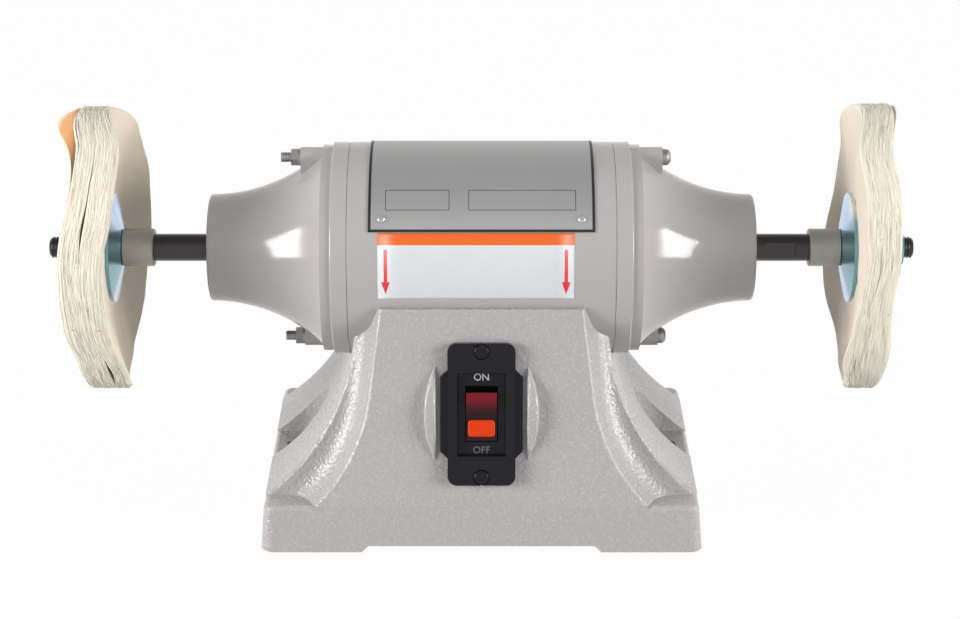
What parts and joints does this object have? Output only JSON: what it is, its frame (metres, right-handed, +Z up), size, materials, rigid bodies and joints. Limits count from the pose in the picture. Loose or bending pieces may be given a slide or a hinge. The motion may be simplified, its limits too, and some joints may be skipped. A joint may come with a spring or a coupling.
{
  "type": "bench buffer",
  "caption": "Bench buffer: enclosed cylindrical motor with trumpet-shaped end bells on a flared cast pedestal, cotton buffing wheels on the shaft ends and a front rocker switch.",
  "frame": {"origin": "on the bench plane under the middle of the machine, halfway along the shaft", "axes": "+X along the shaft to the operator's right, +Y away from the operator, +Z up"},
  "size_m": [0.474, 0.171, 0.222],
  "materials": {
    "pedestal_paint": "textured light warm grey paint",
    "motor_paint": "smooth gloss light warm grey paint",
    "plain_steel": "plain steel",
    "dark_steel": "dark ground steel",
    "zinc_steel": "bright zinc plate with a faint blue tint",
    "nameplate_metal": "brushed, bare of wording",
    "bearing_steel": "ground and polished",
    "lamination_steel": "stacked laminations",
    "copper_winding": "varnished copper wire",
    "rotor_casting": "as cast",
    "black_switch": "gloss black moulding",
    "red_rocker": "dark red moulding",
    "orange_key": "bright orange-red moulding",
    "black_screw": "black finish",
    "brass_terminal": "plain",
    "capacitor_case": "moulded case",
    "black_rubber": "matt",
    "cotton": "loose woven cotton plies"
  },
  "bodies": {
    "stand": {"pedestal_base": "pedestal_paint", "base_cover_plate": "plain_steel", "cover_screws": "plain_steel", "motor_barrel": "motor_paint", "barrel_screws": "plain_steel", "right_end_bell": "motor_paint", "left_end_bell": "motor_paint", "tie_bolts": "zinc_steel", "tie_bolt_washers": "zinc_steel", "tie_bolt_nuts": "zinc_steel", "stator_core": "lamination_steel", "stator_windings": "copper_winding", "right_bearing_outer_race": "bearing_steel", "left_bearing_outer_race": "bearing_steel", "bearing_preload_washer": "plain_steel", "nameplate": "nameplate_metal", "nameplate_rivets": "nameplate_metal", "switch_housing": "black_switch", "switch_screws": "black_screw", "switch_terminals": "brass_terminal", "capacitor": "capacitor_case", "capacitor_clamp": "plain_steel", "clamp_screws": "plain_steel", "cord_grommet": "black_rubber"},
    "rotor": {"shaft": "dark_steel", "rotor_core": "lamination_steel", "rotor_cage": "rotor_casting", "right_bearing_inner_race": "bearing_steel", "left_bearing_inner_race": "bearing_steel", "right_spacer_collar": "plain_steel", "left_spacer_collar": "plain_steel", "right_inner_flange": "zinc_steel", "left_inner_flange": "zinc_steel", "right_buffing_wheel": "cotton", "left_buffing_wheel": "cotton", "right_outer_flange": "zinc_steel", "left_outer_flange": "zinc_steel", "right_arbor_nut": "zinc_steel", "left_arbor_nut": "zinc_steel"},
    "right_ball_cage": {"right_bearing_balls": "bearing_steel", "right_bearing_cage": "brass_terminal"},
    "left_ball_cage": {"left_bearing_balls": "bearing_steel", "left_bearing_cage": "brass_terminal"},
    "rocker": {"switch_rocker": "red_rocker"},
    "lock_key": {"safety_key": "orange_key"}
  },
  "joints": [
    {"name": "shaft_spin", "type": "hinge", "parent": "stand", "child": "rotor", "pos_m": [0, 0, 0.144], "axis": [1, 0, 0], "continuous": true},
    {"name": "right_cage_spin", "type": "hinge", "parent": "stand", "child": "right_ball_cage", "pos_m": [0.1325, 0, 0.144], "axis": [1, 0, 0], "continuous": true},
    {"name": "left_cage_spin", "type": "hinge", "parent": "stand", "child": "left_ball_cage", "pos_m": [-0.1325, 0, 0.144], "axis": [1, 0, 0], "continuous": true},
    {"name": "rocker_tilt", "type": "hinge", "parent": "stand", "child": "rocker", "pos_m": [0, -0.06683, 0.07437], "axis": [1, 0, 0], "range_deg": [-16, 0]},
    {"name": "key_pull", "type": "slide", "parent": "rocker", "child": "lock_key", "axis": [0, -0.9572, 0.2895], "range_m": [0, 0.015]}
  ],
  "couplings": [
    {"joint": "right_cage_spin", "follows": "shaft_spin", "ratio": 0.38},
    {"joint": "left_cage_spin", "follows": "shaft_spin", "ratio": 0.38}
  ]
}
